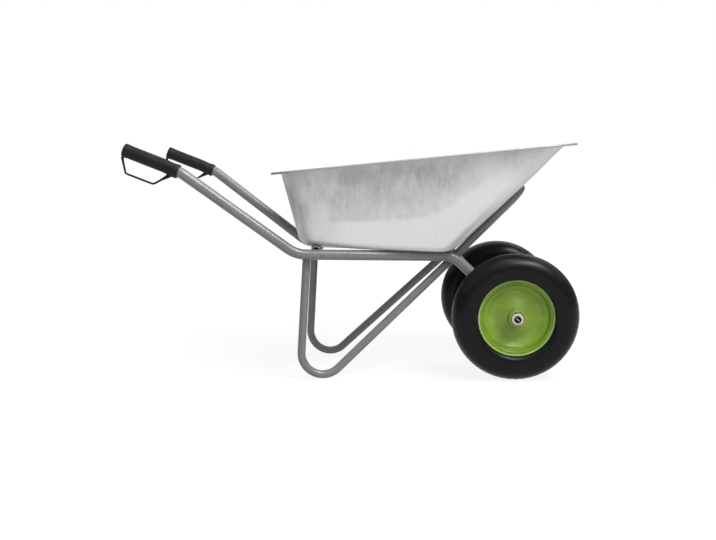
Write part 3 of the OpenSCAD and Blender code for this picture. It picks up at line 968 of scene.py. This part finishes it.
# weld beads along the joints of the tubes
welds = {
    "bead": 2.1,
    "ripple": 0.16,  # uneven, and half as much from step to step
    "rippleScale": 400,
    # ovals round the places where two tubes touch: centre, half width along X, half height
    "touches": [((-149.0, 184.6, 386.0), 7.5, 9.0), ((297.0, 117.0, 358.0), 10.0, 8.0)],
}


def touchLine(centre, halfWidth, halfHeight, side):
    around = [Vector((halfWidth * math.cos(a), 0, halfHeight * math.sin(a))) for a in turns(28)]
    return [onSide(Vector(centre) + offset, side) for offset in around]


def makeWelds():
    bm = bmesh.new()
    lines = list(weldLines)
    for touch in welds["touches"]:
        lines += [touchLine(*touch, side) for _, side in sides]
    for line in lines:
        rings = []
        n = len(line)
        for i, point in enumerate(line):
            way = (line[(i + 1) % n] - line[i - 1]).normalized()
            outward = point - sum(line, Vector()) / n
            outward = (outward - way * outward.dot(way)).normalized()
            uneven = noise.noise(point * welds["rippleScale"]) + 0.5 * (i % 2)
            bead = welds["bead"] * mm * (1 + welds["ripple"] * uneven)
            rings.append(ringOn(bm, point, outward, way.cross(outward), bead, facets=8))
        joinRings(bm, rings + rings[:1])
    addPiece(bm, "frameWelds", "chassis", "frame_paint", (), sharp=70)


rearBar = between(tubes["rail"][0], tubes["rail"][1], tubes["rearBarX"])
rearBar.z = floorHeight(tubes["rearBarX"]) - tubes["weldGap"] - tubes["legRadius"]
frontBar = between(archFoot, archTop, tubes["frontBarX"])

for name, side in sides:
    makeFrameTube(name, side)
    makeLeg(name, side)
    makeBush(name, side)
makeArch()
makeCrossbar("rearCrossbar", "rear_crossbar", rearBar, tubes["legRadius"],
             tubes["rail"][0], tubes["rail"][1], tubes["railRadius"])
makeCrossbar("frontCrossbar", "front_crossbar", frontBar, tubes["barRadius"],
             archFoot, archTop, tubes["legRadius"])
makeWelds()
print("frame tubes made")


# rubber grips, each with a moulded hand guard
grip = {
    # radius, distance from the outer end: flat end and first collar; inner collar from the front end
    "endLine": [(9.0, -3.9), (16.5, -3.8), (19.2, -3.3), (20.1, -2.3), (20.4, -0.6), (20.3, 9.5),
                (19.9, 11.5)],
    "bodyRadius": 19.6,
    "bodyFrom": 14.0,
    "bodyTo": -26.0,
    "bodySteps": 24,
    "frontLine": [(19.7, -20.0), (20.1, -14.5), (20.7, -11.5), (20.8, -2.2), (20.4, -0.6), (19.3, 0.0)],
    "bore": 16.1,
    "boreFrom": 6.0,
    "lift": (0.9, 1.9),  # the body sits a little above the tube, rear and front
    "liftEnd": (-22, 8),  # the lift fades out about the front end of the body
    "flutes": 26,
    "fluteDepth": 0.5,
    "segments": 156,
    "guard": [(-656.0, 263.7, 701.0), (-667.0, 263.7, 686.0), (-659.6, 263.7, 639.8),
              (-580.0, 264.1, 607.2), (-515.0, 264.4, 640.0)],
    "guardBends": [0, 14, 9, 14, 0],
    "guardRadius": 3.0,
    "guardSwell": ((0.5, 0.06, 0.24), (1.5, 0.82, 0.98)),  # thicker at the rear and front joint
}


def gripRings():
    length = (Vector(tubes["gripFront"]) - Vector(tubes["gripEnd"])).length
    bodyEnd = length + grip["bodyTo"]
    rings = [(r, s, 0.0) for r, s in grip["endLine"]]
    steps = grip["bodySteps"]
    for k in range(steps + 1):
        s = grip["bodyFrom"] + (bodyEnd - grip["bodyFrom"]) * k / steps
        flute = min(1.0, k / 2, (steps - k) / 2)  # runs out over two steps at each end
        rings.append((grip["bodyRadius"], s, grip["fluteDepth"] * flute))
    rings += [(r, length + s, 0.0) for r, s in grip["frontLine"]]
    lifted = []
    for r, s, depth in rings:
        rise = grip["lift"][0] + (grip["lift"][1] - grip["lift"][0]) * s / length
        fade = ease(s, *(bodyEnd + far for far in grip["liftEnd"]))
        lifted.append((r, s, depth, rise * (1 - fade)))
    return lifted + [(grip["bore"], length, 0.0, 0.0), (grip["bore"], grip["boreFrom"], 0.0, 0.0)]


def guardSwell(t):
    rear, front = grip["guardSwell"]
    return 1 + rear[0] * (1 - ease(t, *rear[1:])) + front[0] * ease(t, *front[1:])


def makeGrip(name, side):
    bm = bmesh.new()
    start = onSide(tubes["gripEnd"], side)
    way = (onSide(tubes["gripFront"], side) - start).normalized()
    across = way.cross(Vector((0, 0, 1))).normalized()
    up = across.cross(way)
    rings = []
    for radius, s, depth, rise in gripRings():
        ring = []
        for a in turns(grip["segments"]):
            r = radius - depth * (0.5 + 0.5 * math.cos(grip["flutes"] * a))
            place = way * s + up * rise + (across * math.cos(a) + up * math.sin(a)) * r
            ring.append(bm.verts.new(start + place * mm))
        rings.append(ring)
    joinRings(bm, rings)
    closeEnds(bm, rings)
    route = bentRoute([onSide(p, side) for p in grip["guard"]], grip["guardBends"])
    route = denser(route, step=3 * mm)
    rings, _ = sweep(bm, route, grip["guardRadius"] * mm, facets=16, swell=guardSwell)
    closeEnds(bm, rings)
    addPiece(bm, name + "Grip", "chassis", "grip_rubber", [name + "_grip"], sharp=40)


for name, side in sides:
    makeGrip(name, side)
print("grips made")


# wheels: the rim line is (radius, distance outward from the wheel's middle plane),
# bead and tyre inside are (depth under the tread, distance outward)
wheel = {
    "radius": 190.0,
    "track": 430.0,
    "rimSheet": 2.0,
    "rimLine": [(23.3, 15.2), (30, 13.6), (56, 4.0), (62, 1.9), (67, 1.4), (73, 2.6), (79, 4.8),
                (83, 7.2), (86.5, 10.2), (90, 12.2), (96, 13.6), (99.5, 15.6), (100.9, 18.6),
                (100.9, 21.5), (101.8, 24), (104.4, 25.4), (107.6, 25.8), (110.2, 26.6),
                (112.2, 27.6), (112.8, 29.4)],
    "lipWearAndHighlight": (108.8, 110.8),  # radii between which the lip's wear and painted highlight set in
    # radii over which the web's haze and painted light fade out; beyond them the flange channel keeps
    # painted shade
    "hazeTo": (86.0, 98.0),
    "tyreHalfWidth": 47.5,
    "treadRise": 43.0,
    "treadSteps": 45,
    "beadRise": 23.5,
    "wallDraw": 1.6,  # how far the sidewall draws in before its shoulder by the rim
    "wallSteps": 14,
    "bead": [(67.6, 45.4), (68.6, 44.9), (71.6, 43.0), (73.0, 42.0), (74.2, 40.6), (75.0, 38.8),
             (75.6, 35.5), (76.2, 30.0), (77.0, 25.0), (80.0, 20.4), (85.5, 20.8), (87.6, 20.0)],
    "tyreInside": [(87.6, 13), (83, 12.5), (78, 19.4), (70, 29.4), (60, 35.6), (46.5, 38.4), (30, 37.2),
                   (20, 33.4), (12, 25.5), (8.6, 14), (8, 0)],
    "segments": 432,
    "treadPitch": 54,
    "treadDepth": 0.8,
    "treadHalf": 30,  # half width of the tread
    "grooves": (8, 19),  # distances of the grooves from the middle
    "hubRadius": 23.0,
    "hubWall": 2.0,
    "hubIn": 51.0,
    "hubOut": 39.5,
    "hubBead": 1.8,  # rolled outer end
    "hubShield": 16.8,  # turned-in face over the outer bearing
    # painted highlight on the hub's rolled bead
    "hubHighlight": 0.4,
}


def treadDrop(angle, out):
    # depth of the shallow tread at an angle round the tyre and a distance across it
    across = abs(out)
    if across > wheel["treadHalf"]:
        return 0.0
    grooveHalf, cutFrom, fadeWidth, steep = 2.0, 6, 6, 1.4
    cutHalf = 0.16  # share of the pitch
    pitch = 2 * math.pi / wheel["treadPitch"]
    groove = max(1 - abs(across - at) / grooveHalf for at in wheel["grooves"])
    start, slant = (0.25, 0.02) if across < wheel["grooves"][1] else (0.75, -0.012)
    shift = start + across * slant
    phase = (angle / pitch + shift * (1 if out > 0 else -1)) % 1.0
    cut = 0.0 if across < cutFrom else 1 - abs(phase - 0.5) / cutHalf
    fade = min(1.0, (wheel["treadHalf"] - across) / fadeWidth)
    return wheel["treadDepth"] * min(1.0, steep * max(0.0, groove, cut)) * fade


def tyreSection():
    # half section from the middle of the tread to the bead, as (radius, distance outward)
    half, rise, fall = wheel["tyreHalfWidth"], wheel["treadRise"], wheel["beadRise"]
    section = []
    for k in range(wheel["treadSteps"] + 1):
        a = math.radians(90 * k / wheel["treadSteps"])
        section.append((wheel["radius"] - rise * (1 - math.cos(a)), half * math.sin(a)))
    for k in range(1, wheel["wallSteps"] + 1):
        down = k / wheel["wallSteps"]
        section.append((wheel["radius"] - rise - fall * down, half - wheel["wallDraw"] * down ** 3))
    return section + [(wheel["radius"] - d, w) for d, w in wheel["bead"]]


def makeTyre(name, side, centre):
    half = tyreSection()
    inside = [(wheel["radius"] - d, w) for d, w in wheel["tyreInside"]]
    profile = list(reversed(half)) + [(r, -w) for r, w in half[1:]]
    outerRings = len(profile)
    profile += [(r, -w) for r, w in inside] + [(r, w) for r, w in reversed(inside[:-1])]
    bm = bmesh.new()
    rings = turnAbout(bm, profile, centre, side, wheel["segments"])
    for ring, (r, w) in zip(rings[:outerRings], profile):
        if r < wheel["radius"] - wheel["treadRise"]:
            continue
        for vert in ring:
            out = vert.co - centre
            radial = Vector((out.x, 0, out.z)).normalized()
            vert.co -= radial * treadDrop(math.atan2(out.z, out.x), w) * mm
    addPiece(bm, name + "Tyre", name + "_wheel", "tyre_rubber", [name + "_tyre"], sharp=60)


def makeRimHalf(name, side, centre, node, body):
    line = [Vector(wheel["rimLine"][0])] + smoothLine(wheel["rimLine"][1:], pieces=4)
    outline = sheetAbout(line, wheel["rimSheet"])
    bm = bmesh.new()
    wearAndPaintedLight = bm.verts.layers.float.new("wearAndPaintedLight")
    haze = bm.verts.layers.float.new("haze")
    rings = turnAbout(bm, outline, centre, side, segments=160)
    for ring, p in zip(rings, outline):
        for vert in ring:
            # lip: wear and painted highlight; web: haze and painted light, so the flange channel stays
            # darker as painted shade
            vert[wearAndPaintedLight] = ease(p.x, *wheel["lipWearAndHighlight"])
            vert[haze] = 1 - ease(p.x, *wheel["hazeTo"])
    addPiece(bm, name, body, "rim_paint", [node], sharp=45)


def makeHub(name, side, centre):
    r, inner, end = wheel["hubRadius"], -wheel["hubIn"], wheel["hubOut"]
    wall, bead, bore, chamfer = wheel["hubWall"], wheel["hubBead"], wheel["hubShield"], 0.8
    back, face, foot = end + 0.1, end + 0.9, r - 1.6
    profile = [(r, inner + chamfer), (r - chamfer, inner), (r - wall, inner), (r - wall, back),
               (bore, back), (bore, face), (foot, face)]
    beadFrom = len(profile)
    for degrees in range(165, -52, -18):
        a = math.radians(degrees)
        profile.append((r + bead * math.cos(a), end + bead * math.sin(a)))
    bm = bmesh.new()
    wearAndPaintedLight = bm.verts.layers.float.new("wearAndPaintedLight")
    rings = turnAbout(bm, profile, centre, side, segments=96)
    # painted highlight on the bead
    for ring in rings[beadFrom:]:
        for vert in ring:
            vert[wearAndPaintedLight] = wheel["hubHighlight"]
    addPiece(bm, name + "Hub", name + "_wheel", "rim_paint", [name + "_hub"], sharp=30)


for name, side in sides:
    centre = axlePoint(side * wheel["track"] / 2)
    makeTyre(name, side, centre)
    makeRimHalf(name + "RimOuter", side, centre, name + "_rim_outer", name + "_wheel")
    makeRimHalf(name + "RimInner", -side, centre, name + "_rim_inner", name + "_wheel")
    makeHub(name, side, centre)
print("wheels made")


# axle ends: bearings in the hubs, washers and split pins
ends = {
    "bearingStarts": (-51.0, 27.4),  # outward from the wheel's middle plane
    "sleeveTo": 46.2,  # long inner ring of the outer bearing
    "bearingLine": [(10.05, 0), (12.4, 0), (12.9, 0.8), (18.2, 0.8), (18.7, 0), (20.95, 0),
                    (20.95, 12), (18.7, 12), (18.2, 11.2), (12.9, 11.2), (12.4, 12), (10.05, 12)],
    "washerFrom": 261.5,
    "washerLine": [(10.05, 0.3), (10.4, 0), (16.7, 0), (17.2, 0.5), (17.2, 2), (16.7, 2.5), (10.4, 2.5),
                   (10.05, 2.2)],
    "pinAt": 266.5,
    "pinTurn": 135.0,
    "pinWire": 0.95,
    "pinHalf": 12.0,
    "pinEye": 4.0,
    "pinTips": ((2.5, 6.5), (1.5, 5.0)),  # past the end of the legs, and sideways
    "pinLegs": ((0.5, 1.6), (3.0, 1.0)),  # short of that end, and sideways in wire radii
}


def makeBearings(name, side):
    bm = bmesh.new()
    centre = axlePoint(side * wheel["track"] / 2)
    for start in ends["bearingStarts"]:
        profile = [(r, start + out) for r, out in ends["bearingLine"]]
        if start > 0:
            profile[-2:] = [(r, ends["sleeveTo"]) for r, _ in profile[-2:]]
        turnAbout(bm, profile, centre, side)
    addPiece(bm, name + "Bearings", name + "_wheel", "bearing_steel", [name + "_bearings"], sharp=30)


def makeWashers():
    bm = bmesh.new()
    profile = [(r, ends["washerFrom"] + out) for r, out in ends["washerLine"]]
    for _, side in sides:
        turnAbout(bm, profile, axlePoint(0), side)
    addPiece(bm, "axleWashers", "chassis", "zinc_hardware", ["axle_washers"], sharp=30)


def pinRoute(centre):
    # one bent wire: spread tip, leg, eye, leg, spread tip
    turn = math.radians(ends["pinTurn"])
    along = Vector((math.sin(turn), 0, math.cos(turn)))
    beside = Vector((math.cos(turn), 0, -math.sin(turn)))
    thick, half, eye = ends["pinWire"], ends["pinHalf"], ends["pinEye"]
    legs = []
    for way, (past, out) in zip((beside, -beside), ends["pinTips"]):
        leg = [along * (half + past) + way * out]
        leg += [along * (half - short) + way * (far * thick) for short, far in ends["pinLegs"]]
        legs.append(leg)
    opening = math.asin(thick / eye)
    middle = along * -(half + eye * math.cos(opening))
    loop = []
    steps = 24
    for k in range(steps + 1):
        a = opening + (2 * math.pi - 2 * opening) * k / steps
        loop.append(middle + (along * math.cos(a) + beside * math.sin(a)) * eye)
    return [centre + p * mm for p in legs[0] + loop + legs[1][::-1]]


def makeSplitPins():
    bm = bmesh.new()
    for _, side in sides:
        route = pinRoute(axlePoint(side * ends["pinAt"]))
        rings, _ = sweep(bm, route, ends["pinWire"] * mm, facets=12)
        closeEnds(bm, rings)
    addPiece(bm, "splitPins", "chassis", "zinc_hardware", ["split_pins"], sharp=50)


for name, side in sides:
    makeBearings(name, side)
makeWashers()
makeSplitPins()
print("axle ends made")


# carried-over nodes take their slot's finish
slotOf = {part["node"]: part["material_slot"] for part in frame["record"]["subparts"]}
for nodeName, obj in frame["nodes"].items():
    for slot in obj.material_slots:
        slot.material = finishes[slotOf[nodeName]]
print("nodes finished")
